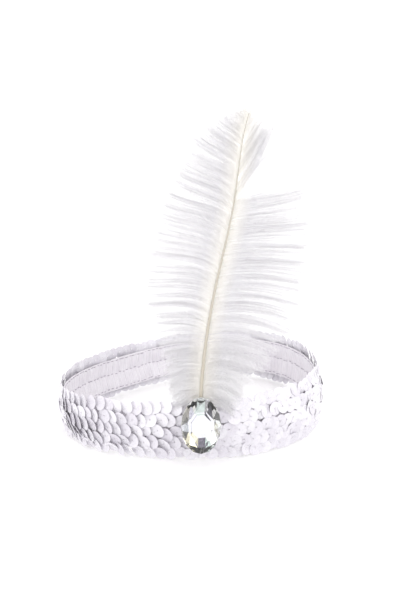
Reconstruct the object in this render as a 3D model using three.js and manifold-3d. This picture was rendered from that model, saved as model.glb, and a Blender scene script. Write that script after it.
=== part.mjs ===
// Flapper headband: a gathered elastic ring under a cloth of overlapping round sequins, with an oval cut
// stone at the front and one ostrich plume rising behind it. Millimetres, +Z up, the stone faces -Y.
import * as THREE from "three";
import { ConvexGeometry } from "three/addons/geometries/ConvexGeometry.js";
import { mergeVertices } from "three/addons/utils/BufferGeometryUtils.js";
import Module from "manifold-3d";

const wasm = await Module();
wasm.setup();

// Head line: the ring's outermost line seen from above, an egg-shaped oval
const bandLong = 168.4;
const bandWide = 138.6;
const bandTurn = 56.6; // degrees from +X to the long way
const eggShare = -0.05; // swell of the line towards one of three sides
const eggTurn = -40.7; // degrees on the oval where that swell sits
const frontTurn = 218.65; // degrees on the oval where the stone sits

// Height and upright profile of the ring
const bandHeight = 31;
const rightRise = 2.4; // the ring is this much taller at its right side
const frontRise = 1.6; // and this much at its front
const topLean = -2.6; // the top edge is pushed this far along X
const topInset = 2.4; // the top edge curls in by this much
const footInset = 3.2; // and the foot by this much
const bulgeHeight = 0.55; // share of the height where the ring is widest

// Sequin cloth
const sequinPitch = 5.3; // from one sequin to the next along a row
const rowPitch = 6.2; // from row to row
const sequinRelief = 0.9; // a sequin's raised face over the edges that it covers
const coverWall = 1.2;
const scallopDepth = 1.3;
const crestShift = 0.22; // share of a pitch by which each crest leans along its row
const cellZigzag = 0.17; // share of a row by which the seams between rows zigzag

// Elastic lining
const liningWall = 1.2;
const gatherDepth = 0.7;
const gatherPitch = 8.4;
const liningFoot = 4.2; // the sequins reach this far below the lining
const liningDrop = 4.2; // and this far above it
const lapStart = 0.592; // share of the way round from which one end lies over the other
const lapLength = 28;
const lapWall = 1;

// Stone and the pad that holds it and the quill
const stoneWide = 20;
const stoneHigh = 29.5;
const stoneDeep = 6.2;
const stoneFoot = 6.8; // height of its lower end
const girdleWall = 1.2;
const tableWide = 11.4;
const tableHigh = 18.4;
const kiteOut = 0.55; // the kites' corners: share of the way from the table out to the girdle
const kiteBack = 0.42; // and from the table back to the girdle
const padBorder = 1.8; // the stone stands out past the pad by this much
const padWall = 0.8; // pad left behind the quill

// Plume
const quillFoot = 8; // height of the quill's lower end
const plumeRise = 166.4; // from there up to the tip
const plumeSway = 23.5; // the tip stands this far to the right
const plumeLean = 8.2; // and the upper plume this far back
const quillWide = 2;
const tipWide = 0.5;
const plumeReach = 42; // longest barbs, from the shaft out
const barbStart = 33; // length of bare quill below the lowest barbs
const lockPitch = 8; // from lock to lock along the shaft
const lockDeep = 1.5; // thickness of a lock where it leaves the shaft
const lockSpread = 4.5; // tips stand this far behind or in front of one another
const vaneCurl = 5; // both sides of the plume curl back by this much
const stripWide = 1.4; // backing strip that the locks grow from
const stripTaper = 0.6; // share of that width left at the tip

const clearance = 0.3;

// The shaft's route: columns are shares of plumeRise, plumeSway and plumeLean
const shaftRoute = [
  { up: 0, side: 0, back: 0 },
  { up: 0.18, side: 0, back: 0.02 },
  { up: 0.29, side: 0.08, back: 0.13 },
  { up: 0.41, side: 0.19, back: 0.33 },
  { up: 0.51, side: 0.34, back: 0.5 },
  { up: 0.65, side: 0.57, back: 0.72 },
  { up: 0.79, side: 0.75, back: 0.9 },
  { up: 0.93, side: 0.88, back: 1 },
  { up: 1, side: 1, back: 0.97 },
];

// The locks of each side: share of the way up the barbs, reach as a share of plumeReach, and the
// direction in degrees above level where a lock leaves the shaft and where its tip points
const leftLocks = [
  { along: 0, reach: 0.42, leave: 0, rise: -26 },
  { along: 0.14, reach: 0.52, leave: 20, rise: -4 },
  { along: 0.3, reach: 0.74, leave: 40, rise: 5 },
  { along: 0.5, reach: 0.86, leave: 45, rise: 15 },
  { along: 0.66, reach: 0.78, leave: 48, rise: 21 },
  { along: 0.8, reach: 0.62, leave: 50, rise: 29 },
  { along: 0.92, reach: 0.32, leave: 55, rise: 37 },
  { along: 1, reach: 0.1, leave: 65, rise: 62 },
];
const rightLocks = [
  { along: 0, reach: 0.54, leave: 0, rise: -24 },
  { along: 0.14, reach: 0.62, leave: 5, rise: -16 },
  { along: 0.27, reach: 0.9, leave: 10, rise: -13 },
  { along: 0.41, reach: 1, leave: 15, rise: -8 },
  { along: 0.54, reach: 0.96, leave: 20, rise: -2 },
  { along: 0.68, reach: 0.8, leave: 20, rise: 9 },
  { along: 0.73, reach: 0.88, leave: 30, rise: 52 },
  { along: 0.8, reach: 0.62, leave: 30, rise: 46 },
  { along: 0.92, reach: 0.33, leave: 45, rise: 35 },
  { along: 1, reach: 0.1, leave: 65, rise: 62 },
];

const wrap = (share) => share - Math.floor(share);
const mix = THREE.MathUtils.lerp;
const radians = THREE.MathUtils.degToRad;

// A closed solid from rings of points. Each ring runs round the skin the same way, and a ring of one
// point is a tip. With loop the last ring joins the first, and otherwise the ends are closed by fans.
function skin(rings, loop = false) {
  const starts = [];
  const positions = [];
  for (const ring of rings) {
    starts.push(positions.length / 3);
    ring.forEach((p) => positions.push(p.x, p.y, p.z));
  }
  const faces = [];
  const spans = loop ? rings.length : rings.length - 1;
  for (let i = 0; i < spans; i++) {
    const next = (i + 1) % rings.length;
    const sides = rings[i].length;
    for (let k = 0; k < sides; k++) {
      const a = starts[i] + k;
      const b = starts[i] + ((k + 1) % sides);
      if (rings[next].length === 1) {
        faces.push(a, b, starts[next]);
      } else {
        const c = starts[next] + ((k + 1) % sides);
        const d = starts[next] + k;
        faces.push(a, b, c, a, c, d);
      }
    }
  }
  if (!loop) {
    for (let k = 1; k + 1 < rings[0].length; k++) faces.push(0, k + 1, k);
    const last = starts[rings.length - 1];
    for (let k = 1; k + 1 < rings[rings.length - 1].length; k++) faces.push(last, last + k, last + k + 1);
  }
  return facesOf(positions, faces);
}

function facesOf(positions, faces) {
  const geometry = new THREE.BufferGeometry();
  geometry.setAttribute("position", new THREE.Float32BufferAttribute(positions, 3));
  geometry.setIndex(faces);
  return geometry;
}

// Between a three.js geometry and a solid that can be joined and cut
function toSolid(geometry) {
  const bare = geometry.clone();
  bare.deleteAttribute("normal");
  bare.deleteAttribute("uv");
  const merged = mergeVertices(bare, 1e-4);
  const triVerts = new Uint32Array(merged.index.array);
  const vertProperties = new Float32Array(merged.attributes.position.array);
  return new wasm.Manifold(new wasm.Mesh({ numProp: 3, vertProperties, triVerts }));
}

function toGeometry(solid) {
  const mesh = solid.getMesh();
  return facesOf(Array.from(mesh.vertProperties), Array.from(mesh.triVerts));
}

// The head line, from the stone round by the right, back and left sides
class HeadLine extends THREE.Curve {
  getPoint(share) {
    const turn = radians(frontTurn + 360 * share);
    const swell = 1 + eggShare * Math.cos(3 * (turn - radians(eggTurn)));
    const along = (bandLong / 2) * swell * Math.cos(turn);
    const across = (bandWide / 2) * swell * Math.sin(turn);
    const lay = radians(bandTurn);
    const x = along * Math.cos(lay) - across * Math.sin(lay);
    const y = along * Math.sin(lay) + across * Math.cos(lay);
    return new THREE.Vector3(x, y, 0);
  }
}
const headLine = new HeadLine();
headLine.arcLengthDivisions = 720;
const lineLength = headLine.getLength();

function heightAt(x, y) {
  return bandHeight + (rightRise * x) / (bandWide / 2) - (frontRise * y) / (bandLong / 2);
}

// How far the ring's face lies inside the head line at a share of the height
function barrelInset(up) {
  if (up > bulgeHeight) return topInset * ((up - bulgeHeight) / (1 - bulgeHeight)) ** 2;
  return footInset * ((bulgeHeight - up) / bulgeHeight) ** 2;
}

// The inner faces follow straight lines between the foot, the widest height and the top
function innerInset(up) {
  if (up > bulgeHeight) return (topInset * (up - bulgeHeight)) / (1 - bulgeHeight);
  return (footInset * (bulgeHeight - up)) / bulgeHeight;
}

// A point of the ring: share of the way round, share of the height, distance inside the head line
function ringPoint(around, up, inside) {
  const line = headLine.getPointAt(wrap(around));
  const way = headLine.getTangentAt(wrap(around));
  const x = line.x - way.y * inside;
  const y = line.y + way.x * inside;
  return new THREE.Vector3(x + topLean * up, y, up * heightAt(line.x, line.y));
}

// Sequin cloth: staggered cells, each a low hexagon whose middle is raised. Places along a row are
// counted in quarters of a pitch, so that every corner has a whole number.
function makeSequinCover() {
  const rows = Math.max(2, Math.round(bandHeight / rowPitch));
  const cells = Math.round(lineLength / sequinPitch);
  const quarters = cells * 4;
  const positions = [];
  const faces = [];
  const known = new Map();

  function addPoint(key, quarter, up, inside) {
    if (!known.has(key)) {
      known.set(key, positions.length / 3);
      const p = ringPoint(quarter / quarters, up, inside);
      positions.push(p.x, p.y, p.z);
    }
    return known.get(key);
  }
  const stagger = (row) => (row % 2) * 2;
  const onRing = (quarter) => ((quarter % quarters) + quarters) % quarters;

  // Edge points between rows zigzag, and the ring's own edges are scalloped
  function edgeUp(edge, quarter) {
    const scallop = scallopDepth / bandHeight;
    if (edge === 0) return onRing(quarter - stagger(0)) % 4 === 2 ? scallop : 0;
    if (edge === rows) return onRing(quarter - stagger(rows - 1)) % 4 === 2 ? 1 - scallop : 1;
    const crest = onRing(quarter - stagger(edge - 1)) % 4 === 0;
    return (edge + (crest ? cellZigzag : -cellZigzag)) / rows;
  }
  function outer(edge, quarter) {
    const up = edgeUp(edge, quarter);
    const inside = barrelInset(up) + sequinRelief;
    return addPoint(`outer ${edge} ${onRing(quarter)}`, quarter, up, inside);
  }
  function inner(level, quarter) {
    const up = level === 1 ? bulgeHeight : edgeUp(level === 0 ? 0 : rows, quarter);
    const inside = innerInset(up) + sequinRelief + coverWall;
    return addPoint(`inner ${level} ${onRing(quarter)}`, quarter, up, inside);
  }

  for (let row = 0; row < rows; row++) {
    for (let cell = 0; cell < cells; cell++) {
      const middle = cell * 4 + stagger(row);
      const below = row === 0 ? [-2, -1, 1, 2] : [-2, 0, 2];
      const above = row === rows - 1 ? [2, 1, -1, -2] : [2, 0, -2];
      const round = [
        ...below.map((step) => outer(row, middle + step)),
        ...above.map((step) => outer(row + 1, middle + step)),
      ];
      const up = (row + 0.5) / rows;
      const crest = addPoint(`crest ${row} ${cell}`, middle + 4 * crestShift, up, barrelInset(up));
      round.forEach((corner, k) => faces.push(corner, round[(k + 1) % round.length], crest));
    }
  }

  // Foot, inner faces and top edge, three strips to a cell
  for (let cell = 0; cell < cells; cell++) {
    const steps = [-2, -1, 1, 2];
    for (let k = 0; k < 3; k++) {
      const foot = [cell * 4 + stagger(0) + steps[k], cell * 4 + stagger(0) + steps[k + 1]];
      const top = foot.map((quarter) => quarter + stagger(rows - 1) - stagger(0));
      const columns = [
        [outer(0, foot[0]), outer(0, foot[1])],
        [inner(0, foot[0]), inner(0, foot[1])],
        [inner(1, foot[0]), inner(1, foot[1])],
        [inner(2, top[0]), inner(2, top[1])],
        [outer(rows, top[0]), outer(rows, top[1])],
      ];
      for (let level = 0; level + 1 < columns.length; level++) {
        const [a, b] = columns[level];
        const [d, c] = columns[level + 1];
        faces.push(a, c, b, a, d, c);
      }
    }
  }
  return facesOf(positions, faces);
}

// Elastic lining: a cloth wall whose inner face puffs out in gathers between three stitched lines, with
// one end lapped over the other
function makeElasticBand() {
  const gathers = Math.round(lineLength / gatherPitch);
  const stations = gathers * 2;
  const foot = liningFoot / bandHeight;
  const top = 1 - liningDrop / bandHeight;
  const outerFace = sequinRelief + coverWall + clearance;
  // Columns: share of the lining's height, and how far the gathers puff out there
  const innerLevels = [
    { up: 1, puff: 0.3 },
    { up: 0.95, puff: 0 },
    { up: 0.73, puff: 1 },
    { up: 0.5, puff: 0 },
    { up: 0.27, puff: 1 },
    { up: 0.05, puff: 0 },
    { up: 0, puff: 0.3 },
  ];
  const outerLevels = [foot, bulgeHeight, top];
  const rings = [];
  for (let station = 0; station < stations; station++) {
    const around = (station + 0.5) / stations;
    const pastStart = wrap(around - lapStart) * lineLength;
    const lap = pastStart < lapLength ? lapWall : 0;
    const fold = station % 2 === 0 ? gatherDepth : 0;
    const outside = outerLevels.map((up) => ringPoint(around, up, innerInset(up) + outerFace));
    const inside = innerLevels.map((level) => {
      const up = mix(foot, top, level.up);
      return ringPoint(around, up, innerInset(up) + outerFace + liningWall + lap + fold * level.puff);
    });
    rings.push([...outside, ...inside].reverse());
  }
  return skin(rings, true);
}

// The stone, the pad and the plume are placed from the ring's front: X to the right, Y back through the
// ring, Z up from the surface that the ring stands on
const front = headLine.getPointAt(0);
const frontWay = headLine.getTangentAt(0);
const frontGroup = new THREE.Group();
frontGroup.position.set(front.x, front.y, 0);
frontGroup.rotation.z = Math.atan2(frontWay.y, frontWay.x);

const stoneMiddle = stoneFoot + stoneHigh / 2;
const padDeep = padWall + quillWide + 2 * clearance;
const padBack = -clearance;
const quillBack = padBack - padWall - clearance - quillWide / 2;
const stoneBack = padBack - padDeep - clearance;

// Points round an oval in the stone's plane, at a depth in front of the ring
function ovalRing(wide, high, count, turn, y) {
  return Array.from({ length: count }, (_, k) => {
    const angle = ((k + turn) / count) * 2 * Math.PI;
    return new THREE.Vector3((wide / 2) * Math.cos(angle), y, stoneMiddle + (high / 2) * Math.sin(angle));
  });
}

// An oval brilliant with a flat back: table, star facets, kites and girdle facets
function makeStone() {
  const girdleFront = stoneBack - girdleWall;
  const tableFace = stoneBack - stoneDeep;
  const kiteFace = mix(tableFace, girdleFront, kiteBack);
  const kiteWide = mix(tableWide, stoneWide, kiteOut);
  const kiteHigh = mix(tableHigh, stoneHigh, kiteOut);
  return new ConvexGeometry([
    ...ovalRing(tableWide, tableHigh, 8, 0.5, tableFace),
    ...ovalRing(kiteWide, kiteHigh, 8, 0, kiteFace),
    ...ovalRing(stoneWide, stoneHigh, 16, 0, girdleFront),
    ...ovalRing(stoneWide, stoneHigh, 16, 0, stoneBack),
  ]);
}

const shaftLine = new THREE.CatmullRomCurve3(
  shaftRoute.map((row) => {
    const z = quillFoot + row.up * plumeRise;
    return new THREE.Vector3(row.side * plumeSway, quillBack + row.back * plumeLean, z);
  }),
);
const shaftLength = shaftLine.getLength();
const shaftWide = (share) => mix(quillWide, tipWide, share);

// A round tapered rod along the shaft's route, grown on all sides by a margin
function shaftRod(sides, stations, margin) {
  const rings = [];
  for (let i = 0; i <= stations; i++) {
    const share = i / stations;
    const middle = shaftLine.getPointAt(share);
    const radius = shaftWide(share) / 2 + margin;
    rings.push(
      Array.from({ length: sides }, (_, k) => {
        const angle = (k / sides) * 2 * Math.PI;
        const x = middle.x + radius * Math.cos(angle);
        return new THREE.Vector3(x, middle.y + radius * Math.sin(angle), middle.z);
      }),
    );
  }
  return skin(rings);
}

// The pad: an oval disc with a groove for the quill in its front face
function makePad() {
  const wide = stoneWide - 2 * padBorder;
  const high = stoneHigh - 2 * padBorder;
  const shape = new THREE.Shape().absellipse(0, 0, wide / 2, high / 2, 0, 2 * Math.PI, false, 0);
  const disc = new THREE.ExtrudeGeometry(shape, { depth: padDeep, bevelEnabled: false, curveSegments: 12 });
  disc.rotateX(Math.PI / 2);
  disc.translate(0, padBack, stoneMiddle);
  const grooveWide = quillWide + 2 * clearance;
  const groove = new THREE.BoxGeometry(grooveWide, 2 * grooveWide, plumeRise);
  const grooveFloor = padBack - padWall;
  const grooveFoot = quillFoot - clearance;
  groove.translate(0, grooveFloor - grooveWide, grooveFoot + plumeRise / 2);
  return toGeometry(toSolid(disc).subtract(toSolid(groove)));
}

// A value of a table at a share of its first column
function readTable(rows, along, column) {
  const next = Math.max(1, rows.findIndex((row) => row.along >= along));
  const [a, b] = [rows[next - 1], rows[next]];
  return mix(a[column], b[column], (along - a.along) / (b.along - a.along));
}

// The first lock starts this share of a pitch above the lowest barbs, and a lock bends at this share of
// its reach, by when it has this share of its curl
const lockStart = 0.4;
const lockBend = 0.45;
const lockBendCurl = 0.2;
const narrowest = 0.4; // a short lock is no wider than this share of its reach

// Widths and thicknesses along a lock, as shares of lockPitch and lockDeep
const lockForm = [
  { out: 0, wide: 0.4, deep: 1 },
  { out: 0.16, wide: 1.2, deep: 0.95 },
  { out: 0.5, wide: 1.3, deep: 0.8 },
  { out: 0.82, wide: 1.2, deep: 0.6 },
  { out: 1, wide: 0, deep: 0 },
];

// One lock of barbs: a flat blade that leaves the backing strip, bends and ends in a point
function makeLock(table, side, along, order, root) {
  const reach = readTable(table, along, "reach") * plumeReach;
  const leave = radians(readTable(table, along, "leave"));
  const rise = radians(readTable(table, along, "rise"));
  const spread = vaneCurl + lockSpread * ((order % 3) - 1);
  const offset = (angle, length) => [side * length * Math.cos(angle), length * Math.sin(angle)];
  const [bendX, bendZ] = offset(leave, reach * lockBend);
  const [tipX, tipZ] = offset(rise, reach);
  const line = new THREE.QuadraticBezierCurve3(
    root,
    new THREE.Vector3(root.x + bendX, root.y + spread * lockBendCurl, root.z + bendZ),
    new THREE.Vector3(root.x + tipX, root.y + spread, root.z + tipZ),
  );
  const rings = lockForm.map((row) => {
    const middle = line.getPointAt(row.out);
    if (row.wide === 0) return [middle];
    const way = line.getTangentAt(row.out);
    const across = new THREE.Vector3(-way.z, 0, way.x).normalize().multiplyScalar(side);
    const wide = Math.min(lockPitch, reach * narrowest) * row.wide;
    const deep = lockDeep * row.deep;
    const corner = (a, b) =>
      middle.clone().addScaledVector(across, (a * wide) / 2).add(new THREE.Vector3(0, (b * deep) / 2, 0));
    const ring = [corner(1, 0), corner(0, 1), corner(-1, 0), corner(0, -1)];
    return side > 0 ? ring.reverse() : ring;
  });
  return skin(rings);
}

// One side of the plume: its locks, fused to a thin backing strip that runs beside the shaft
function makeVane(table, side) {
  const start = barbStart / shaftLength;
  const stripAt = (share) => {
    const p = shaftLine.getPointAt(share);
    const away = shaftWide(share) / 2 + clearance + stripWide / 2;
    return p.setX(p.x + side * away);
  };
  const stations = 14;
  const stripRings = Array.from({ length: stations + 1 }, (_, i) => {
    const share = mix(start, 1, i / stations);
    const middle = stripAt(share);
    const half = (stripWide / 2) * mix(1, stripTaper, i / stations);
    return [[1, 1], [-1, 1], [-1, -1], [1, -1]].map(
      ([a, b]) => new THREE.Vector3(middle.x + a * half, middle.y + b * half, middle.z),
    );
  });
  let vane = toSolid(skin(stripRings));
  const locks = Math.max(3, Math.round((shaftLength - barbStart) / lockPitch));
  for (let i = 0; i < locks; i++) {
    const along = (i + lockStart) / locks;
    const root = stripAt(mix(start, 1, along));
    vane = vane.add(toSolid(makeLock(table, side, along, i, root)));
  }
  return toGeometry(vane.subtract(toSolid(shaftRod(8, 24, clearance))));
}

const finishes = {
  sequins: { color: "#f3f0f4", roughness: 0.3, metalness: 0 },
  elastic: { color: "#dcd8e1", roughness: 0.9, metalness: 0 },
  crystal: { color: "#e6ebea", roughness: 0.05, metalness: 0.1 },
  felt: { color: "#eeeaee", roughness: 0.95, metalness: 0 },
  shaft: { color: "#e8dcc6", roughness: 0.5, metalness: 0 },
  barbs: { color: "#f9f8f9", roughness: 0.85, metalness: 0 },
};

function piece(name, geometry, finish, parent) {
  const mesh = new THREE.Mesh(geometry, new THREE.MeshStandardMaterial(finishes[finish]));
  mesh.name = name;
  parent.add(mesh);
}

const headband = new THREE.Group();
headband.add(frontGroup);
piece("sequin_cover", makeSequinCover(), "sequins", headband);
piece("elastic_band", makeElasticBand(), "elastic", headband);
piece("stone", makeStone(), "crystal", frontGroup);
piece("backing_pad", makePad(), "felt", frontGroup);
piece("feather_shaft", shaftRod(8, 16, 0), "shaft", frontGroup);
piece("feather_vane_left", makeVane(leftLocks, -1), "barbs", frontGroup);
piece("feather_vane_right", makeVane(rightLocks, 1), "barbs", frontGroup);

// The origin is the middle of the whole piece's box, on the surface that the ring stands on
const box = new THREE.Box3().setFromObject(headband, true);
headband.position.set(-(box.min.x + box.max.x) / 2, -(box.min.y + box.max.y) / 2, -box.min.z);

export default headband;
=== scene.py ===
# %% [markdown]
# # A flapper headband: sequins, a cut stone and an ostrich plume
# The real thing is a gathered elastic ring with five rows of overlapping sequins sewn to its outside. A
# foiled oval stone sits at the front, on a felt pad that also grips the quill of one tall plume.
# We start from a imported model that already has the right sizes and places, and dress it piece by piece.

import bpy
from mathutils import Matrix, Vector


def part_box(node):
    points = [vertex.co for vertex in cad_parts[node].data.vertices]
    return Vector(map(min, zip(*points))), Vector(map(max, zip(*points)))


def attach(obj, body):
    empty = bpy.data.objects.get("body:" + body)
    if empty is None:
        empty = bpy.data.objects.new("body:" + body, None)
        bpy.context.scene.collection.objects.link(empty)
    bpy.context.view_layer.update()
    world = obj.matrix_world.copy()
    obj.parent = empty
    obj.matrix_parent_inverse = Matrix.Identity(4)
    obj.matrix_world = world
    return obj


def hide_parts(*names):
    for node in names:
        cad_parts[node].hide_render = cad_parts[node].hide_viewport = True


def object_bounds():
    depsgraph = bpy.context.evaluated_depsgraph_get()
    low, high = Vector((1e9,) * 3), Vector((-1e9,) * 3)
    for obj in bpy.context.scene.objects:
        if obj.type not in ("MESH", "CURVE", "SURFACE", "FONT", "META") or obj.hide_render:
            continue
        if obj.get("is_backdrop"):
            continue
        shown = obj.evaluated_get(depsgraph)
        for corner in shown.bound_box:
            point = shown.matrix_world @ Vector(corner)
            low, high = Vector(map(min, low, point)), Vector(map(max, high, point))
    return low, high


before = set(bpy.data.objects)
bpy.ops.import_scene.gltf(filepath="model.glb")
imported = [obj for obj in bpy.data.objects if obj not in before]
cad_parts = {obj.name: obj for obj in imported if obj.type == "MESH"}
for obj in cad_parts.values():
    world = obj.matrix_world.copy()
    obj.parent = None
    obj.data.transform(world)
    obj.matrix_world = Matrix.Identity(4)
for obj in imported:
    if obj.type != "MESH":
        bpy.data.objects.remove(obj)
cad_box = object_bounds()
print("packed pieces:", ", ".join(sorted(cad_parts)))

# %% [markdown]
# ## Helpers
# Lengths are written in millimetres and multiplied by MM, because Blender's unit here is the metre.
# Colours are written as sRGB hex text, as a paint program shows them, and one function makes them linear.
# An operator acts on everything that is selected, so we deselect all before each one.

# %% Helpers for lengths, colours, selection and nodes
import math

import bpy
import numpy as np

MM = 0.001
chance = np.random.default_rng(20)


def linear(hex_text):
    parts = [int(hex_text[i : i + 2], 16) / 255 for i in (1, 3, 5)]
    return (*[c / 12.92 if c <= 0.04045 else ((c + 0.055) / 1.055) ** 2.4 for c in parts], 1.0)


def deselect_all():
    bpy.ops.object.select_all(action="DESELECT")


def choose(piece):
    """Make one object the only selected one, and the active one."""
    deselect_all()
    piece.select_set(True)
    bpy.context.view_layer.objects.active = piece


def add_node(tree, kind, inputs=None, **settings):
    """A shader node with its settings, and for each input a value or the socket that feeds it."""
    node = tree.nodes.new(kind)
    for name, value in settings.items():
        setattr(node, name, value)
    for name, value in (inputs or {}).items():
        if isinstance(value, bpy.types.NodeSocket):
            tree.links.new(value, node.inputs[name])
        else:
            node.inputs[name].default_value = value
    return node


def noise(tree, place, scale, detail=2.0):
    """Soft noise from 0 to 1, with this many spots to the unit of place."""
    inputs = {"Vector": place, "Scale": scale, "Detail": detail}
    return add_node(tree, "ShaderNodeTexNoise", inputs).outputs["Fac"]


def remap(tree, value, from_low, from_high, to_low=0.0, to_high=1.0):
    inputs = {"Value": value, "From Min": from_low, "From Max": from_high}
    inputs |= {"To Min": to_low, "To Max": to_high}
    return add_node(tree, "ShaderNodeMapRange", inputs).outputs["Result"]


def add_scaled(tree, value, scale, plus):
    """value times scale, plus another value."""
    node = add_node(tree, "ShaderNodeMath", {0: value, 1: scale, 2: plus}, operation="MULTIPLY_ADD")
    return node.outputs[0]


def blend(tree, share, low, high):
    """A colour between low, at share 0, and high, at share 1."""
    node = add_node(tree, "ShaderNodeMix", {"Factor": share, "A": low, "B": high}, data_type="RGBA")
    return node.outputs["Result"]


def bumps(tree, height, strength, distance):
    inputs = {"Height": height, "Strength": strength, "Distance": distance}
    return add_node(tree, "ShaderNodeBump", inputs).outputs["Normal"]


def new_material(name, **constants):
    """A material with Blender's standard surface, and its plain values set on the surface's own sockets."""
    material = bpy.data.materials.new(name)
    material.use_nodes = True
    surface = material.node_tree.nodes["Principled BSDF"]
    for socket, value in constants.items():
        surface.inputs[socket.replace("_", " ")].default_value = value
    return material, material.node_tree, surface


def finish_piece(piece, material, slot, *nodes):
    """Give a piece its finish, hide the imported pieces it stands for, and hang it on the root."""
    piece.data.materials.clear()
    piece.data.materials.append(material)
    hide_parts(*nodes)
    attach(piece, "root")
    print(f"{piece.name}: {len(piece.data.polygons)} faces")


# %% [markdown]
# Hundreds of sequins, stitches and barbs would be slow as objects of their own. Each is modelled once,
# and then numpy works out where every copy's points go and writes them all as one joined mesh.

# %% Joined meshes from arrays
def mesh_piece(name, points, corners, starts):
    """A mesh object from its points in metres, its faces' corners in one row, and where each face starts."""
    mesh = bpy.data.meshes.new(name)
    mesh.vertices.add(len(points))
    mesh.vertices.foreach_set("co", np.ascontiguousarray(points, np.float32).ravel())
    mesh.loops.add(len(corners))
    mesh.loops.foreach_set("vertex_index", np.ascontiguousarray(corners, np.int32))
    mesh.polygons.add(len(starts))
    mesh.polygons.foreach_set("loop_start", np.ascontiguousarray(starts, np.int32))
    mesh.update(calc_edges=True)
    piece = bpy.data.objects.new(name, mesh)
    bpy.context.scene.collection.objects.link(piece)
    return piece


def points_of(mesh):
    points = np.empty(len(mesh.vertices) * 3, np.float32)
    mesh.vertices.foreach_get("co", points)
    return points.reshape(-1, 3).astype(float)


def joined_copies(name, model, centres, axes, bend=None):
    """One mesh of many copies of a model. axes[n] holds the directions of copy n's own X, Y and Z.
    bend lifts each copy's far ends along its own Z by that much at 1 radius from the middle."""
    local = points_of(model.data)
    corners = np.empty(len(model.data.loops), np.int32)
    model.data.loops.foreach_get("vertex_index", corners)
    starts = np.empty(len(model.data.polygons), np.int32)
    model.data.polygons.foreach_get("loop_start", starts)
    count = len(centres)
    shaped = np.repeat(local[None], count, axis=0)
    if bend is not None:
        reach = np.abs(local[:, 0]).max()
        shaped[:, :, 2] += bend[:, None] * (local[None, :, 0] / reach) ** 2
    points = centres[:, None, :] + np.einsum("nvk,nkj->nvj", shaped, axes)
    order = np.arange(count)[:, None]
    corners = (corners[None] + order * len(local)).ravel()
    starts = (starts[None] + order * len(model.data.loops)).ravel()
    return mesh_piece(name, points.reshape(-1, 3), corners, starts)


def unit(vectors):
    return vectors / np.linalg.norm(vectors, axis=-1, keepdims=True)


# %% [markdown]
# ## Camera
# The band stands on a white table and is seen from its front, a little from above, through a long lens.
# The lens is 65 mm on a frame 36 mm tall, and the camera looks straight ahead along +Y and 12 degrees down.

# %% Camera
camera_place = (4.4, -593.0, 197.9)  # mm
camera_down = 12.38  # degrees below level

camera_data = bpy.data.cameras.new("camera")
camera_data.lens = 64.97
camera_data.sensor_width = 36.0
camera_data.clip_start = 0.01
camera = bpy.data.objects.new("camera", camera_data)
camera.location = [c * MM for c in camera_place]
camera.rotation_euler = (math.radians(90 - camera_down), 0, 0)
bpy.context.scene.collection.objects.link(camera)
bpy.context.scene.camera = camera
print("camera at", camera_place, "mm")

# %% [markdown]
# ## Floor and light
# White goods on white need light from all round, or their shadows turn grey. The world gives even white
# light. A large soft lamp in front to the right gives the forms a lit and a shaded side. A small one, low at
# the left, brightens the outside of the band there, and the band's own wall keeps it out of the ring.

# %% Floor, world and lamps
world_strength = 1.26
lamps = (  # name, watts, place in metres, size in metres
    ("key lamp", 3.5, (0.85, -1.0, 0.6), 0.8),
    ("fill lamp", 2.0, (-1.0, -0.75, 0.12), 0.3),
)

bpy.context.scene.view_settings.view_transform = "Standard"
world = bpy.data.worlds.new("white studio")
bpy.context.scene.world = world
world.use_nodes = True
world.node_tree.nodes["Background"].inputs["Color"].default_value = linear("#fffefe")
world.node_tree.nodes["Background"].inputs["Strength"].default_value = world_strength

for name, power, lamp_place, size in lamps:
    lamp_data = bpy.data.lights.new(name, "AREA")
    lamp_data.energy = power
    lamp_data.size = size
    lamp = bpy.data.objects.new(name, lamp_data)
    lamp.location = lamp_place
    lamp.rotation_euler = (lamp.location * -1).to_track_quat("-Z", "Y").to_euler()
    bpy.context.scene.collection.objects.link(lamp)

floor_material = new_material("matt white paper", Base_Color=linear("#fdfdfd"), Roughness=0.95)[0]
deselect_all()
bpy.ops.mesh.primitive_plane_add(size=8)
floor = bpy.context.object
floor.name = "floor"
floor.data.materials.append(floor_material)
floor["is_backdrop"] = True

print("floor and", len(lamps), "lamps are set")

# %% [markdown]
# ## The ring's surface
# Everything on the band follows one line round the head: an egg-shaped oval, seen from above. The ring is
# widest a little above its middle height and curls in at the top and at the foot. Its top edge leans left.
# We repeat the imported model's formulas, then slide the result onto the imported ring.

# %% Head line and ring surface
band_long = 168.4
band_wide = 138.6
band_turn = math.radians(56.6)
egg_share = -0.05
egg_turn = math.radians(-40.7)
front_turn = math.radians(218.65)
band_height = 31
right_rise = 2.4
front_rise = 1.6
top_lean = -2.6
top_inset = 2.4
foot_inset = 3.2
bulge_height = 0.55

turns = front_turn + np.linspace(0, 2 * math.pi, 2881)
swell = 1 + egg_share * np.cos(3 * (turns - egg_turn))
oval_x = band_long / 2 * swell * np.cos(turns)
oval_y = band_wide / 2 * swell * np.sin(turns)
line_x = oval_x * math.cos(band_turn) - oval_y * math.sin(band_turn)
line_y = oval_x * math.sin(band_turn) + oval_y * math.cos(band_turn)
walked = np.concatenate([[0], np.cumsum(np.hypot(np.diff(line_x), np.diff(line_y)))])
line_length = walked[-1]
ring_shift = np.zeros(3)


def on_line(share):
    way = (share % 1) * line_length
    return np.interp(way, walked, line_x), np.interp(way, walked, line_y)


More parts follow.
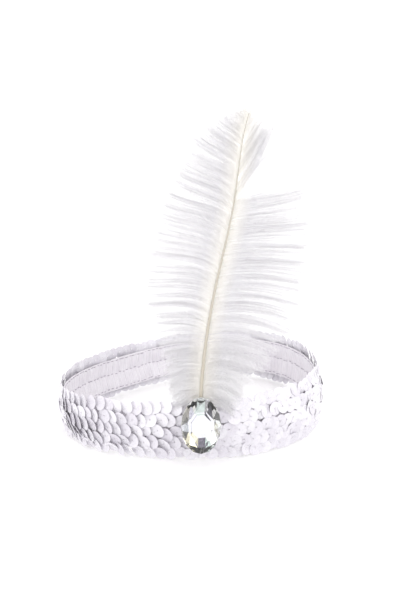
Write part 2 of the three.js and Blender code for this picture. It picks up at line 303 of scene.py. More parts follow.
def ring_points(share, up, inside):
    """Points in metres, from the share of the way round, the share of the height, and mm inside the line."""
    share, up, inside = np.broadcast_arrays(share, up, inside)
    step = 0.4 / line_length
    x, y = on_line(share)
    ahead = np.stack(on_line(share + step), -1)
    behind = np.stack(on_line(share - step), -1)
    way = unit(ahead - behind)
    high = band_height + right_rise * x / (band_wide / 2) - front_rise * y / (band_long / 2)
    across = x - way[..., 1] * inside + top_lean * up
    return np.stack([across, y + way[..., 0] * inside, up * high], -1) * MM + ring_shift


def barrel_inset(up):
    above = top_inset * ((up - bulge_height) / (1 - bulge_height)) ** 2
    below = foot_inset * ((bulge_height - up) / bulge_height) ** 2
    return np.where(up > bulge_height, above, below)


def lining_inset(up):
    above = top_inset * (up - bulge_height) / (1 - bulge_height)
    below = foot_inset * (bulge_height - up) / bulge_height
    return np.where(up > bulge_height, above, below)


def ring_axes(share, up, inset):
    """At each place on the ring: the way along it, the way up its face, and the way out."""
    step, rise = 1.0 / line_length, 0.02
    along = unit(ring_points(share + step, up, inset(up)) - ring_points(share - step, up, inset(up)))
    above = ring_points(share, up + rise, inset(up + rise))
    climb = unit(above - ring_points(share, up - rise, inset(up - rise)))
    return along, climb, unit(np.cross(along, climb))


row_count = 5
crest_rows = (np.arange(row_count)[:, None] + 0.5) / row_count
crests = ring_points(np.arange(720)[None] / 720, crest_rows, barrel_inset(crest_rows)).reshape(-1, 3)
cover_low, cover_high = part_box("sequin_cover")
for axis in (0, 1):
    packed_middle = (cover_low[axis] + cover_high[axis]) / 2
    ring_shift[axis] = packed_middle - (crests[:, axis].min() + crests[:, axis].max()) / 2
print(f"head line {line_length:.1f} mm round, moved by {ring_shift / MM} mm")

# %% [markdown]
# ## One sequin
# A sequin is punched from thin pearly film: a round disc with a small hole, dished a little by the punch.
# We inset a filled circle to get the hole's rim, delete the middle, sink the rim and give it a wall.

# %% Model one sequin
sequin_radius = 3.8
hole_radius = 0.4
sequin_dish = 0.28
sequin_wall = 0.12

deselect_all()
bpy.ops.mesh.primitive_circle_add(vertices=16, radius=sequin_radius * MM, fill_type="NGON")
sequin = bpy.context.object
sequin.name = "sequin_model"
bpy.ops.object.mode_set(mode="EDIT")
bpy.ops.mesh.select_all(action="SELECT")
bpy.ops.mesh.inset(thickness=(sequin_radius - hole_radius) * MM)
bpy.ops.transform.translate(value=(0, 0, -sequin_dish * MM))
bpy.ops.mesh.delete(type="FACE")
bpy.ops.object.mode_set(mode="OBJECT")
solidify = sequin.modifiers.new("wall", "SOLIDIFY")
solidify.thickness = sequin_wall * MM
solidify.offset = -1
bpy.ops.object.modifier_apply(modifier=solidify.name)
print("one sequin has", len(sequin.data.polygons), "faces")

# %% [markdown]
# Pearl film is PVC with mica in it: white, glossy, with a faint lavender cast that differs from disc to
# disc. The tone attribute, one number for each disc, drives that, and fine clouds break up the gloss.

# %% Material: pearl PVC film
film, tree, surface = new_material(
    "pearl pvc film", IOR=1.5, Coat_Weight=0.2, Coat_Roughness=0.12, Subsurface_Weight=0.1
)
surface.inputs["Subsurface Scale"].default_value = 1.0 * MM
surface.inputs["Subsurface Radius"].default_value = (1.0, 1.0, 1.0)
tone = add_node(tree, "ShaderNodeAttribute", attribute_name="tone")
place = add_node(tree, "ShaderNodeTexCoord")
clouds = noise(tree, place.outputs["Object"], 1 / (1.2 * MM))
pearl = add_scaled(tree, clouds, 0.5, tone.outputs["Fac"])
lavender = blend(tree, pearl, linear("#d2ced7"), linear("#e2e0e6"))
tree.links.new(lavender, surface.inputs["Base Color"])
tree.links.new(remap(tree, clouds, 0.3, 0.7, 0.22, 0.4), surface.inputs["Roughness"])
print("material", film.name)

# %% [markdown]
# ## Five rows of sequins
# The sequins are sewn on strings, mostly each over the left edge of the next, and each row is shifted by
# half a pitch. So every disc stands at a slant, with one edge lifted off its neighbours. The slant changes
# round the ring, as a short table says.
# No two sit alike, so the slant, its direction, the place and the bend of each disc vary a little.

# %% Lay the sequins
sequin_pitch = 5.3
sequin_depth = 0.9  # a disc's middle lies this far inside the head line
# Share of the way round from the front, slant, way of the lifted edge above the row, and that way's spread.
slants = (
    (-0.5, 12, 60, 25),
    (-0.3, 12, 60, 25),
    (-0.25, -9, 0, 30),
    (-0.19, -2, 10, 30),
    (-0.14, 16, 20, 30),
    (-0.03, 19, 20, 30),
    (0.04, 10, 0, 65),
    (0.14, 9, 0, 60),
    (0.2, 6, 0, 30),
    (0.26, 2, 0, 30),
    (0.32, 8, 60, 25),
    (0.5, 12, 60, 25),
)
slant_spread = 5.0
place_spread = (0.5, 0.6)  # along the row, and up and down
bend_spread = 0.22
top_row_share = 0.7  # the top row strays up and down by this share of the spread
back_rise = 1.6  # the top row stands this much taller at the back left
back_place = (0.66, 0.07)  # shares of the way round: where, and how far to each side
floor_gap = 0.15
pressed_share = 0.6  # the pad holds the discs behind it flatter by this share
pressed_reach = 9.0
sequins_in_row = round(line_length / sequin_pitch)


def lay_row(row):
    """Middles and axes of one row's discs."""
    count = sequins_in_row
    stray = chance.normal(0, place_spread[0], count) / sequin_pitch
    share = (np.arange(count) + 0.5 * (row % 2) + stray) / count
    x, y = on_line(share)
    high = band_height + right_rise * x / (band_wide / 2) - front_rise * y / (band_long / 2)
    middle = sequin_radius + row * (high - 2 * sequin_radius) / (row_count - 1)
    slip = chance.normal(0, place_spread[1], count) * (top_row_share if row == row_count - 1 else 1)
    slip = np.abs(slip) if row == 0 else slip
    if row == row_count - 1:
        slip += back_rise * np.exp(-(((share - back_place[0]) / back_place[1]) ** 2))
    up = (middle + slip) / high
    along, climb, out = ring_axes(share, up, barrel_inset)
    from_front = (share + 0.5) % 1 - 0.5
    pressed = pressed_share * np.exp(-((from_front * line_length / pressed_reach) ** 2))
    places, *columns = zip(*slants)
    slant, way, way_spread = (np.interp(from_front, places, column) for column in columns)
    slant = np.radians(chance.normal(slant, slant_spread) * (1 - pressed))[:, None]
    way = np.radians(chance.normal(way, way_spread))[:, None]
    lifted = np.cos(way) * along + np.sin(way) * climb
    held = -np.sin(way) * along + np.cos(way) * climb
    own_x = np.cos(slant) * lifted + np.sin(slant) * out
    own_z = -np.sin(slant) * lifted + np.cos(slant) * out
    axes = np.stack([own_x, held, own_z], axis=1)
    centres = ring_points(share, up, barrel_inset(up) + sequin_depth)
    reach_down = sequin_radius * MM * np.hypot(own_x[:, 2], held[:, 2])
    centres[:, 2] = np.maximum(centres[:, 2], reach_down + floor_gap * MM)
    return centres, axes


rows = [lay_row(row) for row in range(row_count)]
for number, (centres, axes) in enumerate(rows, start=1):
    bend = chance.normal(0, bend_spread * MM, len(centres))
    piece = joined_copies(f"sequin_row_{number}", sequin, centres, axes, bend)
    choose(piece)
    bpy.ops.object.shade_smooth_by_angle(angle=math.radians(35))
    tones = np.repeat(chance.random(len(centres)), len(sequin.data.vertices))
    attribute = piece.data.attributes.new("tone", "FLOAT", "POINT")
    attribute.data.foreach_set("value", tones.astype(np.float32))
    finish_piece(piece, film, "sequins", "sequin_cover")

# %% [markdown]
# Polyester thread comes up through each hole, runs over the disc and goes down beside it. One stitch is
# extruded from a five-sided ring along a short bowed path, and then copied onto every disc.

# %% Model one stitch and sew the sequins
def extruded_path(name, path, radii, sides, along_x):
    """A rod through the path's points in metres: a filled circle, extruded and resized at each point."""
    deselect_all()
    turn = (0, math.radians(90), 0) if along_x else (0, 0, 0)
    bpy.ops.mesh.primitive_circle_add(vertices=sides, radius=radii[0], fill_type="NGON", rotation=turn)
    rod = bpy.context.object
    rod.name = name
    bpy.ops.object.transform_apply(location=False, rotation=True, scale=False)
    bpy.ops.object.mode_set(mode="EDIT")
    bpy.ops.mesh.select_all(action="SELECT")
    bpy.ops.transform.translate(value=tuple(path[0]))
    for k in range(1, len(path)):
        bpy.ops.mesh.extrude_region_move(TRANSFORM_OT_translate={"value": tuple(path[k] - path[k - 1])})
        grow = radii[k] / radii[k - 1]
        size = (1, grow, grow) if along_x else (grow, grow, 1)
        bpy.ops.transform.resize(value=size, center_override=tuple(path[k]))
    bpy.ops.mesh.select_all(action="SELECT")
    bpy.ops.mesh.normals_make_consistent(inside=False)
    bpy.ops.object.mode_set(mode="OBJECT")
    return rod


thread_radius = 0.1
thread_path = np.array(
    [[0.25, 0, -0.45], [0.1, 0, -0.05], [-1.1, 0, 0.14], [-2.3, 0, 0.16], [-3.0, 0, 0.05]]
)
thread_radii = [thread_radius * MM] * len(thread_path)
stitch = extruded_path("stitch_model", thread_path * MM, thread_radii, 5, along_x=True)


def spun_thread(name, dark, light):
    """Spun thread: matt, with a twist that shows as fine light and dark and as small bumps."""
    material, tree, surface = new_material(name, Roughness=0.75, Sheen_Weight=0.3)
    place = add_node(tree, "ShaderNodeTexCoord")
    fibres = noise(tree, place.outputs["Object"], 1 / (0.35 * MM), 1.0)
    tree.links.new(blend(tree, fibres, linear(dark), linear(light)), surface.inputs["Base Color"])
    tree.links.new(bumps(tree, fibres, 0.4, 0.05 * MM), surface.inputs["Normal"])
    return material


thread_material = spun_thread("spun polyester thread", "#dcd7e2", "#f6f4f8")
dark_thread = spun_thread("lavender grey thread", "#8f8795", "#b3abb8")

sewn = joined_copies(
    "sequin_stitches",
    stitch,
    np.concatenate([centres for centres, axes in rows]),
    np.concatenate([axes for centres, axes in rows]),
)
finish_piece(sewn, thread_material, "sequins", "sequin_cover")
bpy.data.objects.remove(sequin)
bpy.data.objects.remove(stitch)

# %% [markdown]
# ## Elastic lining
# One strip of knitted elastic goes round the head, gathered by three lines of stitches, and its ends lie
# over each other at the back left. A flat grid is wrapped round the ring: its length becomes the way
# round, its width the way up. Between the stitched lines the cloth puffs out in upright gathers.

# %% Wrap the lining
lining_wall = 0.8
lining_outside = 2.4  # its outer face lies this far inside the head line
lining_foot = 0.165  # shares of the height: the sequins show past both of its edges
lining_top = 0.825
lap_start = 0.592
lap_length = 28.0
lap_wall = 1.0
lap_ease = 7.0
strip_length = line_length + lap_length
strip_height = 20.5
stitched_ups = (0.205, 0.51, 0.8)
gathers = ((152, 0.4), (238, 0.26), (61, 0.3))  # how many round the ring, and how deep in mm
pinch_width = 1.1


def gather_depth(share, up):
    """How far the cloth puffs in from its flat face, in mm: none at the stitched lines and most between."""
    pinch = np.ones(np.broadcast(share, up).shape)
    for line in stitched_ups:
        pinch = pinch * (1 - np.exp(-(((up - line) * band_height / pinch_width) ** 2)))
    depth = np.zeros_like(pinch)
    for order, (count, deep) in enumerate(gathers):
        wander = 0.5 * np.sin(2 * math.pi * (7 + 5 * order) * share + 2.1 * order)
        wander = wander + 0.6 * np.sin(9 * up + order)
        depth += deep * (0.5 + 0.5 * np.sin(2 * math.pi * count * share + wander))
    return depth * (0.15 + 0.85 * pinch)


deselect_all()
bpy.ops.mesh.primitive_grid_add(x_subdivisions=1280, y_subdivisions=34, size=1, calc_uvs=True)
lining = bpy.context.object
lining.name = "elastic_lining"
flat = points_of(lining.data)
walk = (flat[:, 0] + 0.5) * strip_length
up = lining_foot + (flat[:, 1] + 0.5) * (lining_top - lining_foot)
share = (lap_start + walk / line_length) % 1
over = np.clip((lap_length + lap_ease - walk) / lap_ease, 0, 1)
over = over * over * (3 - 2 * over)
inside = lining_inset(up) + lining_outside + lap_wall * over + gather_depth(share, up)
lining.data.vertices.foreach_set("co", ring_points(share, up, inside).astype(np.float32).ravel())
uv = lining.data.uv_layers[0]
uv.name = "cloth_mm"
flat_uv = np.empty(len(uv.data) * 2, np.float32)
uv.data.foreach_get("uv", flat_uv)
cloth_uv = flat_uv.reshape(-1, 2) * (strip_length, strip_height)
uv.data.foreach_set("uv", cloth_uv.astype(np.float32).ravel())
choose(lining)
solidify = lining.modifiers.new("wall", "SOLIDIFY")
solidify.thickness = lining_wall * MM
solidify.offset = -1
bpy.ops.object.modifier_apply(modifier=solidify.name)
bpy.ops.object.shade_smooth_by_angle(angle=math.radians(60))

# %% [markdown]
# Knitted elastic has fine ribs that run up and down, about 0.9 mm apart. It is matt lavender grey, with a
# soft glow from its loose fibres. The ribs follow the cloth's own map, which is in millimetres.

# %% Material: knitted elastic
elastic, tree, surface = new_material(
    "knitted elastic", Roughness=0.92, Sheen_Weight=0.25, Sheen_Roughness=0.5
)
cloth = add_node(tree, "ShaderNodeUVMap", uv_map="cloth_mm")
rib_pitch = 0.9
rib_scale = 2 * math.pi / (20 * rib_pitch)
ribs = add_node(
    tree,
    "ShaderNodeTexWave",
    {
        "Vector": cloth.outputs["UV"],
        "Scale": rib_scale,
        "Distortion": 1.2,
        "Detail": 1.0,
        "Detail Scale": 0.6,
    },
    bands_direction="X",
)
patches = noise(tree, cloth.outputs["UV"], 0.12, 4.0)
weave_tone = add_scaled(tree, ribs.outputs["Fac"], 0.35, patches)
elastic_colour = blend(tree, weave_tone, linear("#cdc8d0"), linear("#e7e4e9"))
tree.links.new(elastic_colour, surface.inputs["Base Color"])
tree.links.new(bumps(tree, ribs.outputs["Fac"], 0.5, 0.12 * MM), surface.inputs["Normal"])
finish_piece(lining, elastic, "elastic", "elastic_band")

# %% [markdown]
# Three lines of stitches gather the lining. Each stitch is a short bowed thread, pulled into the cloth.

# %% Sew the lining
lining_thread_radius = 0.2
lining_stitches_round = 150
seam_path = np.array([[-1.15, 0, -0.3], [-0.8, 0, 0.05], [0, 0, 0.14], [0.8, 0, 0.05], [1.15, 0, -0.3]])
seam_radii = np.array([0.5, 1, 1, 1, 0.5]) * lining_thread_radius * MM
seam = extruded_path("seam_model", seam_path * MM, seam_radii, 6, along_x=True)
seam_share = np.tile((np.arange(lining_stitches_round) + 0.5) / lining_stitches_round, len(stitched_ups))
seam_share += chance.normal(0, 0.0009, len(seam_share))
seam_up = np.repeat(stitched_ups, lining_stitches_round) + chance.normal(0, 0.007, len(seam_share))
seam_walk = ((seam_share - lap_start) % 1) * line_length
seam_over = lap_wall * np.clip((lap_length + lap_ease - seam_walk) / lap_ease, 0, 1)
seam_inside = lining_inset(seam_up) + lining_outside + lining_wall + seam_over
seam_inside = seam_inside + gather_depth(seam_share, seam_up)
along, climb, out = ring_axes(seam_share, seam_up, lining_inset)
seams = joined_copies(
    "lining_stitches",
    seam,
    ring_points(seam_share, seam_up, seam_inside + 0.05),
    np.stack([along, -climb, -out], axis=1),
)
finish_piece(seams, dark_thread, "elastic", "elastic_band")
bpy.data.objects.remove(seam)

# %% [markdown]
# ## The stone
# A cut oval has a flat table, star facets and kites round it, and a narrow girdle. Behind the girdle it is
# cut shallow and silvered. We give only the facets' corners and let the convex hull operator find the
# faces, then merge the triangles of each flat facet.

# %% Cut the stone
stone_wide = 20.0
stone_high = 29.5
stone_middle = 21.55  # height of its middle
table_face = -10.2  # depths in front of the ring
kite_face = -7.4
girdle_front = -5.3
girdle_back = -5.1
front_right = unit(ring_points(0.002, 0.0, 0) - ring_points(-0.002, 0.0, 0))
front_back = np.array([-front_right[1], front_right[0], 0])
front_point = ring_points(0.0, 0.0, 0)


def front_points(places):
    """Metres, from mm to the right, back and up of the ring's front."""
    places = np.asarray(places, float) * MM
    up_way = np.array([0, 0, 1])
    level = places[..., :1] * front_right + places[..., 1:2] * front_back
    return front_point + level + places[..., 2:] * up_way


def oval_ring(wide, high, count, turn, depth):
    angle = (np.arange(count) + turn) * 2 * math.pi / count
    across, rise = wide / 2 * np.cos(angle), stone_middle + high / 2 * np.sin(angle)
    return np.stack([across, np.full(count, depth), rise], -1)


def cut_from_corners(name, corners):
    """A closed solid with flat facets between the corners."""
    mesh = bpy.data.meshes.new(name)
    mesh.from_pydata(front_points(corners).tolist(), [], [])
    solid = bpy.data.objects.new(name, mesh)
    bpy.context.scene.collection.objects.link(solid)
    choose(solid)
    bpy.ops.object.mode_set(mode="EDIT")
    bpy.ops.mesh.select_all(action="SELECT")
    bpy.ops.mesh.convex_hull(join_triangles=False)
    bpy.ops.mesh.dissolve_limited(angle_limit=math.radians(0.5))
    bpy.ops.mesh.normals_make_consistent(inside=False)
    bpy.ops.object.mode_set(mode="OBJECT")
    return solid


crown = [
    oval_ring(11.6, 17.4, 8, 0.5, table_face),
    oval_ring(16.4, 24.6, 8, 0, kite_face),
    oval_ring(stone_wide, stone_high, 16, 0, girdle_front),
]
pavilion = [
    oval_ring(stone_wide, stone_high, 16, 0, girdle_back),
    oval_ring(17.4, 25.8, 16, 0.5, -4.85),
    oval_ring(13.4, 19.6, 16, 0.1, -4.5),
    oval_ring(9.8, 12.6, 8, 0.6, -4.1),
]
stone = cut_from_corners("cut_stone", np.concatenate(crown + pavilion))
foil = cut_from_corners("stone_foil", np.concatenate(crown + pavilion))
bevel = stone.modifiers.new("polished edges", "BEVEL")
bevel.width = 0.06 * MM
bevel.segments = 1
choose(stone)
bpy.ops.object.modifier_apply(modifier=bevel.name)

# %% [markdown]
# The foil is the silver on the stone's back. It is the same cut solid with its front facets deleted, moved
# back by a hair and given a wall. Each facet's colour is a painted reflection, light or dark, as if it
# caught another part of a room. Two short tables go round the stone: one for the star, one for the rim
# outside it.

# %% Silver the back
choose(foil)
bpy.context.tool_settings.mesh_select_mode = (False, False, True)
for face in foil.data.polygons:
    face.select = face.normal.dot(front_back.tolist()) < 0.05
bpy.ops.object.mode_set(mode="EDIT")
bpy.ops.mesh.delete(type="FACE")
bpy.ops.mesh.select_all(action="SELECT")
bpy.ops.transform.translate(value=tuple(0.05 * MM * front_back))
bpy.ops.object.mode_set(mode="OBJECT")
# Painted reflections: these colours stand in for the light and dark that a silver facet would reflect.
painted_star_reflections = ("#f4f4f4", "#3a3545", "#dbe4e2", "#c9c5d6", "#dfdde8", "#efe9d6", "#6a6474", "#fafafa")
painted_rim_reflections = (
    ("#c9c6ca", "#141016", "#b9b5b6", "#cfcbd0", "#e6e8e8", "#d5d2cf", "#8f857c", "#5b524a")
    + ("#2e2825", "#39322e", "#f0e6ca", "#ddd5bb", "#fbfcfc", "#c3d0cc", "#eef1f0", "#c4c1c4")
)
painted_rim_streaks = (0.8, 1.3)  # each rim facet is darker or lighter by a factor between these
painted_table_reflection = "#f4f2fa"
table_reach, rim_reach = 0.1, 0.74  # shares of the way out: the table lies within, the rim past these
# Each foil face gets its painted reflection colour from its zone: table, star or rim.
painted_facet_reflections = []
for face in foil.data.polygons:
    from_middle = (np.array(face.center) - front_points([0, 0, stone_middle])) / MM
    across, rise = from_middle @ front_right / (stone_wide / 2), from_middle[2] / (stone_high / 2)
    turn_share = math.atan2(rise, across) / (2 * math.pi)  # round the stone from its right, over its top
    out = math.hypot(across, rise)
    if out < table_reach:
        tint, streak = linear(painted_table_reflection), 1.0
    elif out > rim_reach:
        tint, streak = linear(painted_rim_reflections[round(turn_share * 16) % 16]), chance.uniform(*painted_rim_streaks)
    else:
        tint, streak = linear(painted_star_reflections[round(turn_share * 8) % 8]), 1.0
    painted_facet_reflections.append([min(1, part * streak) for part in tint[:3]] + [1.0])
attribute = foil.data.attributes.new("foil_painted_reflection", "FLOAT_COLOR", "FACE")
attribute.data.foreach_set("color", np.array(painted_facet_reflections, np.float32).ravel())
solidify = foil.modifiers.new("wall", "SOLIDIFY")
solidify.thickness = 0.12 * MM
solidify.offset = 1
bpy.ops.object.modifier_apply(modifier=solidify.name)

# %% [markdown]
# The stone is crystal glass, cut and polished: clear as water, with sharp bright edges, and it bends light
# strongly. Only the faintest swirls of the polish are left on it.

# %% Material: cut crystal glass
crystal, tree, surface = new_material(
    "cut crystal glass", Base_Color=linear("#fbfdfc"), Roughness=0.0, IOR=1.56, Transmission_Weight=1.0
)
place = add_node(tree, "ShaderNodeTexCoord")
swirl = noise(tree, place.outputs["Object"], 1 / (6 * MM))
tree.links.new(remap(tree, swirl, 0.0, 1.0, 0.0, 0.03), surface.inputs["Roughness"])
finish_piece(stone, crystal, "crystal", "stone")

# %% [markdown]
# The silvered back is a mirror of evaporated metal, a little cloudy, and each facet's colour is a painted
# reflection. It gives the stone its sparkle.

# %% Material: silvered foil
silver, tree, surface = new_material("silvered foil", Metallic=1.0, Roughness=0.06)
# The foil's colour is each facet's painted reflection, a little clouded.
reflection_paint = add_node(tree, "ShaderNodeAttribute", attribute_name="foil_painted_reflection")
place = add_node(tree, "ShaderNodeTexCoord")
clouding = noise(tree, place.outputs["Object"], 1 / (1.5 * MM))
silver_with_painted_reflection = add_node(
    tree,
    "ShaderNodeVectorMath",
    {0: reflection_paint.outputs["Color"], "Scale": remap(tree, clouding, 0.3, 0.7, 0.93, 1.0)},
    operation="SCALE",
)
tree.links.new(silver_with_painted_reflection.outputs["Vector"], surface.inputs["Base Color"])
finish_piece(foil, silver, "crystal", "stone")

# %% [markdown]
# ## The felt pad
# A small oval pad of pressed felt carries the stone and grips the quill in a groove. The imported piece
# already has that form, so we copy its mesh, merge its loose triangles, and round its edges.

# %% Soften the pad
pad = bpy.data.objects.new("felt_pad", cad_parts["backing_pad"].data.copy())
bpy.context.scene.collection.objects.link(pad)
choose(pad)
bpy.ops.object.mode_set(mode="EDIT")
bpy.ops.mesh.select_all(action="SELECT")
bpy.ops.mesh.remove_doubles(threshold=0.001 * MM)
bpy.ops.mesh.dissolve_limited(angle_limit=math.radians(1))
bpy.ops.object.mode_set(mode="OBJECT")
bevel = pad.modifiers.new("soft edges", "BEVEL")
bevel.width = 0.3 * MM
bevel.segments = 3
bevel.limit_method = "ANGLE"
bevel.angle_limit = math.radians(50)
bpy.ops.object.modifier_apply(modifier=bevel.name)
bpy.ops.object.shade_smooth_by_angle(angle=math.radians(40))

# %% [markdown]
# Felt is wool fibre, wetted and pressed. It is quite matt, with a soft edge of light from its loose hairs.

# %% Material: pressed wool felt
felt, tree, surface = new_material("pressed wool felt", Roughness=0.97, Sheen_Weight=0.5)
place = add_node(tree, "ShaderNodeTexCoord")
wool = noise(tree, place.outputs["Object"], 1 / (0.6 * MM), 5.0)
tree.links.new(blend(tree, wool, linear("#d9d4dc"), linear("#f4f2f5")), surface.inputs["Base Color"])
tree.links.new(bumps(tree, wool, 0.7, 0.2 * MM), surface.inputs["Normal"])
finish_piece(pad, felt, "felt", "backing_pad")

# %% [markdown]
# ## The shaft
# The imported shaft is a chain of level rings. We read the middle of each ring, put a smooth curve through
# them, and extrude a new shaft along it with more steps, a finer taper and the groove of a real shaft.

# %% Find the shaft's line
packed_shaft = points_of(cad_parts["feather_shaft"].data) / MM
levels = np.unique(np.round(packed_shaft[:, 2], 2))
middles = []
for level in levels:
    ring = packed_shaft[np.abs(packed_shaft[:, 2] - level) < 0.05]
    lowest, highest = ring.min(0), ring.max(0)
    middles.append([(lowest[0] + highest[0]) / 2, (lowest[1] + highest[1]) / 2, level])
middles = np.array(middles)
shaft_z = np.linspace(levels[0], levels[-1], 241)
shaft_line = np.stack(
    [np.polynomial.Polynomial.fit(levels, middles[:, axis], 8)(shaft_z) for axis in (0, 1)] + [shaft_z], -1
)
shaft_walk = np.concatenate([[0], np.cumsum(np.linalg.norm(np.diff(shaft_line, axis=0), axis=1))])
shaft_length = shaft_walk[-1]


def shaft_at(walk):
    """Points on the shaft's middle line in mm, from mm along it."""
    return np.stack([np.interp(walk, shaft_walk, shaft_line[:, axis]) for axis in range(3)], -1)


print(f"shaft {shaft_length:.1f} mm long, from {len(levels)} rings")

# %% [markdown]
# A plume's shaft is keratin: cream and satin, round in front, grooved behind, and hair-thin at its tip.

# %% Extrude the shaft
quill_radius = 1.0
tip_radius = 0.16
shaft_steps = 56
groove_share = 0.45  # depth of the groove as a share of the radius

walk = np.linspace(0, shaft_length, shaft_steps + 1)
shaft_radii = tip_radius + (quill_radius - tip_radius) * (1 - walk / shaft_length) ** 1.15
shaft = extruded_path("plume_shaft", shaft_at(walk) * MM, shaft_radii * MM, 12, along_x=False)
points = points_of(shaft.data)
around = np.round(points[:, 2] / MM, 4)
for k, height in enumerate(shaft_at(walk)[:, 2]):
    ring = np.flatnonzero(np.abs(around - height) < 0.02)
    back = ring[np.argmax(points[ring, 1])]
    points[back, 1] -= groove_share * shaft_radii[k] * MM
shaft.data.vertices.foreach_set("co", points.astype(np.float32).ravel())
shaft.data.update()
choose(shaft)
bpy.ops.object.shade_smooth_by_angle(angle=math.radians(50))

keratin, tree, surface = new_material("keratin shaft", IOR=1.55, Roughness=0.42, Subsurface_Weight=0.1)
surface.inputs["Subsurface Scale"].default_value = 0.4 * MM
surface.inputs["Subsurface Radius"].default_value = (1.0, 0.9, 0.8)
place = add_node(tree, "ShaderNodeTexCoord")
stretched = add_node(
    tree, "ShaderNodeMapping", {"Vector": place.outputs["Object"], "Scale": (1.0, 1.0, 0.06)}
)
grain = noise(tree, stretched.outputs["Vector"], 1 / (0.5 * MM), 3.0)
height = add_node(tree, "ShaderNodeSeparateXYZ", {"Vector": place.outputs["Object"]})
paleness = remap(tree, height.outputs["Z"], 0.03, 0.17)
horn = blend(tree, paleness, linear("#aba390"), linear("#b9b4a9"))
tree.links.new(blend(tree, grain, horn, linear("#c0bab0")), surface.inputs["Base Color"])
finish_piece(shaft, keratin, "shaft", "feather_shaft")

# %% [markdown]
# ## The plume's barbs
# Along both sides of the shaft grow soft barbs, and along both sides of each barb grow finer barbules that
# nothing hooks together, which makes the plume fluffy. Barbs stick together in locks that end in points.
# Each table row says, at a share of the way up the plume, how far a barb reaches and in which direction its
# tip lies, and then how it leaves the shaft and how its tip points, all in degrees above level.

# %% Tables of the barbs
bare_quill = 26.5  # mm of quill below the first barbs
left_barbs = (  # share, reach in mm, direction, leave, arrive
    (0.0, 15, -34, -10, -60),
    (0.05, 16.5, -24, 0, -50),
    (0.12, 18, -12, 12, -34),
    (0.18, 20.5, -3, 26, -22),
    (0.24, 25.5, 3, 38, -12),
    (0.3, 29.5, 6, 44, -4),
    (0.36, 32.5, 8, 48, 0),
    (0.42, 34, 12, 50, 6),
    (0.5, 34.5, 18, 52, 16),
    (0.58, 34, 21, 52, 24),
    (0.66, 32, 24, 50, 30),
    (0.73, 28.5, 27, 50, 34),
    (0.8, 24.5, 32, 52, 40),
    (0.87, 19, 36, 54, 46),
    (0.93, 11.5, 42, 58, 54),
    (0.97, 6, 54, 66, 62),
    (1.0, 2.5, 78, 80, 78),
)
right_barbs = (  # from share 0.702 up, one upright lock stands apart from the barbs below it
    (0.0, 18, -36, -10, -60),
    (0.05, 21, -27, -4, -46),
    (0.12, 26, -18, 4, -36),
    (0.2, 33, -13, 14, -34),
    (0.27, 38.5, -10, 18, -30),
    (0.34, 41, -7, 18, -22),
    (0.41, 42, -4, 16, -14),
    (0.48, 42, -2, 14, -8),
    (0.54, 40.5, 2, 14, 0),
    (0.61, 38, 7, 14, 12),
    (0.67, 35, 12, 20, 20),
    (0.698, 34, 15, 24, 24),
    (0.702, 40, 59, 46, 66),
    (0.73, 37, 61, 50, 66),
    (0.76, 27, 58, 56, 60),
    (0.84, 20, 57, 56, 58),
    (0.9, 14.5, 57, 60, 56),
    (0.95, 8, 58, 64, 58),
    (1.0, 2.5, 74, 76, 72),
)
stray_barbs = (  # single barbs in the gap beside the upright lock
    (0.69, 29, 31, 46, 36),
    (0.695, 30, 39, 52, 40),
    (0.7, 33, 36, 50, 34),
    (0.712, 37.5, 51, 62, 46),
    (0.716, 36, 49, 60, 44),
)
down_barbs = (  # the dense down at the foot of the plume, longer on the right
    (0.0, 11, -30, 20, -60),
    (0.04, 16, -22, 24, -50),
    (0.08, 19, -16, 28, -44),
    (0.12, 20, -10, 34, -38),
    (0.18, 20, -2, 40, -30),
)

# %% [markdown]
# Each barb is a curve with four control points. Its tip is drawn towards the tip of its lock, and both
# sides of the plume curl back a little, more or less from lock to lock.

# %% Curves of the barbs
barb_pitch = 0.46
lock_pitch = (0.9, 2.3)  # shortest and longest way from lock to lock
lock_pull = 0.36
handle_share = 0.32  # the inner control points stand this share of the reach from the ends
curl_back = 5.0
curl_spread = 0.9
lock_spread = (0.035, 2.2)  # of the reach as a share, and of the direction in degrees
barb_spread = (0.06, 2.5, 0.25)  # the same for a barb, and its curl in mm
longest_share = 1.05
inner_pull = 0.7  # the inner control points follow the lock by this share of what the tips do
inner_back = 0.35  # and stand this share of the curl in front of the tips


def read_table(table, share, column):
    table = np.array(table)
    return np.interp(share, table[:, 0], table[:, column])


def heading(side, degrees):
    angle = np.radians(degrees)
    return np.stack([side * np.cos(angle), np.zeros_like(angle), np.sin(angle)], -1)


def barb_controls(table, side, share, stretch, turn, back):
    """The four control points of each barb in mm."""
    reach = (read_table(table, share, 1) * stretch)[:, None]
    root = shaft_at(bare_quill + share * (shaft_length - bare_quill))
    tip = root + reach * heading(side, read_table(table, share, 2) + turn)
    tip[:, 1] += back
    first = root + handle_share * reach * heading(side, read_table(table, share, 3) + turn)
    second = tip - handle_share * reach * heading(side, read_table(table, share, 4) + turn)
    second[:, 1] -= inner_back * back
    return np.stack([root, first, second, tip], axis=1)


def crossing(table, side, share):
    """How squarely the barbs cross the shaft: steep ones crowd together, so fewer of them are grown."""
    walk = bare_quill + share * (shaft_length - bare_quill)
    climb = unit(shaft_at(walk + 2) - shaft_at(walk - 2))
    square = np.linalg.norm(np.cross(climb, heading(side, read_table(table, share, 2))), axis=1)
    return 1.4 * square**1.2


